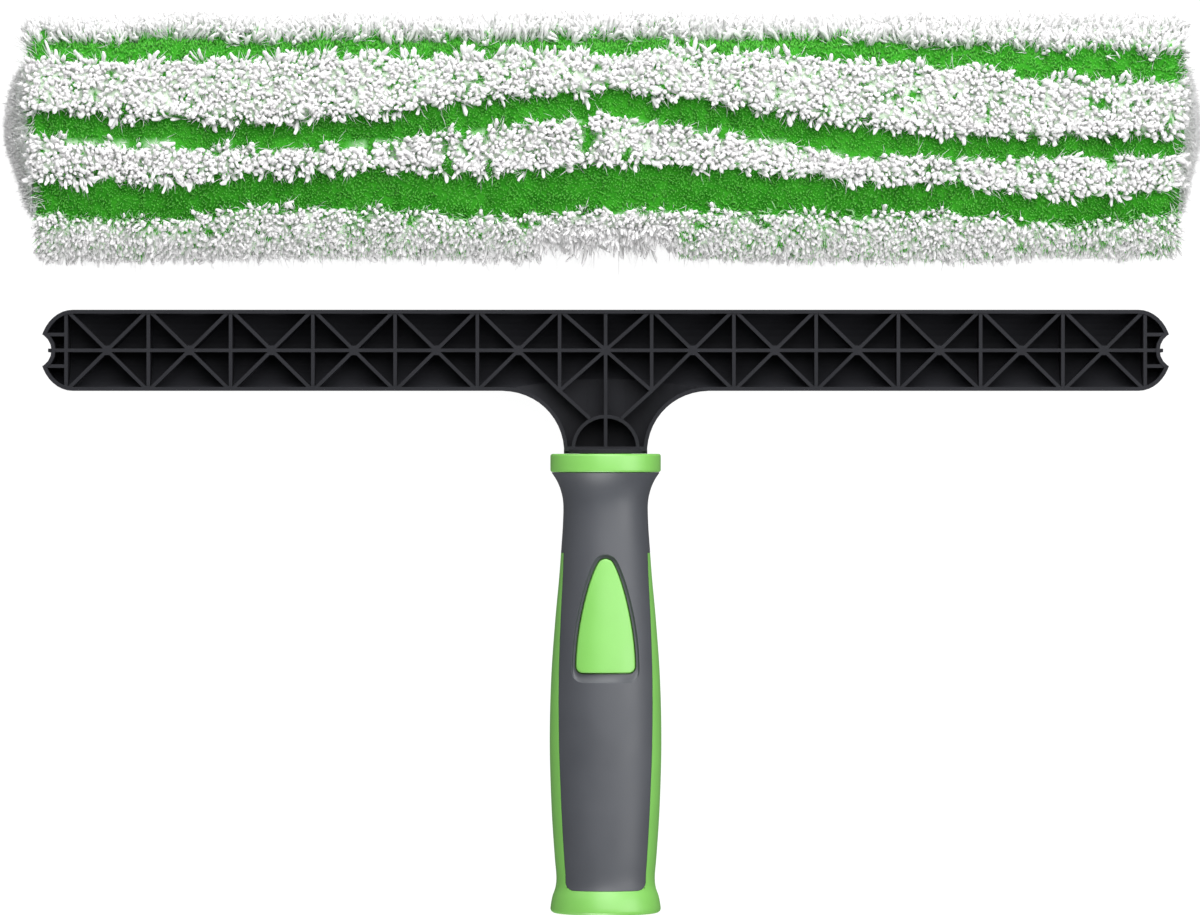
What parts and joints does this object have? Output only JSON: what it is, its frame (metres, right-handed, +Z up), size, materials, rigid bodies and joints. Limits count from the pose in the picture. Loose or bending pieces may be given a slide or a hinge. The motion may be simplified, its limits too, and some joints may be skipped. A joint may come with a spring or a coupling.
{
  "type": "window washer",
  "caption": "Window washer: ribbed T-bar with horned ends on a soft-grip handle, and a striped microfibre sleeve with a long mouth that slides over the bar.",
  "frame": {"origin": "centre of the object's footprint on the table it lies on", "axes": "+X along the bar to the right as seen with the handle towards the viewer, +Y from the handle to the sleeve, +Z up, with the ribbed side of the bar on top"},
  "size_m": [0.3662, 0.2791, 0.04],
  "materials": {
    "black_plastic": "satin moulded plastic, fine grain",
    "green_plastic": "semi-gloss moulded plastic",
    "grey_soft_plastic": "matt soft-touch overmould",
    "steel": "plain turned pin",
    "white_microfibre": "chunky twisted loops of pile",
    "green_microfibre": "short velvety pile",
    "green_backing": "plain woven",
    "pale_grey_fabric": "brushed woven",
    "hook_tape": "stiff hooks on woven tape",
    "loop_tape": "fine loops on woven tape"
  },
  "bodies": {
    "handle": {"t_bar_head": "black_plastic", "handle_core": "green_plastic", "collar_ring": "green_plastic", "grip_overmould": "grey_soft_plastic", "thumb_inlay": "green_plastic", "tang_pin": "steel"},
    "sleeve": {"sleeve_backing": "green_backing", "pile_upper_mouth": "white_microfibre", "green_upper_mouth": "green_microfibre", "pile_upper_middle": "white_microfibre", "green_upper_middle": "green_microfibre", "pile_upper_back": "white_microfibre", "green_upper_back": "green_microfibre", "pile_fold_upper": "white_microfibre", "pile_fold_lower": "white_microfibre", "green_lower_back": "green_microfibre", "pile_lower_back": "white_microfibre", "green_lower_mouth": "green_microfibre", "pile_lower_mouth": "white_microfibre", "end_panel_left": "pale_grey_fabric", "end_panel_right": "pale_grey_fabric", "lip_binding_upper": "pale_grey_fabric", "lip_binding_lower": "pale_grey_fabric", "hook_strip_left": "hook_tape", "hook_strip_right": "hook_tape", "loop_strip_left": "loop_tape", "loop_strip_right": "loop_tape"}
  },
  "joints": [
    {"name": "sleeve_slide", "type": "slide", "parent": "handle", "child": "sleeve", "axis": [0, -1, 0], "range_m": [0, 0.0675]}
  ]
}
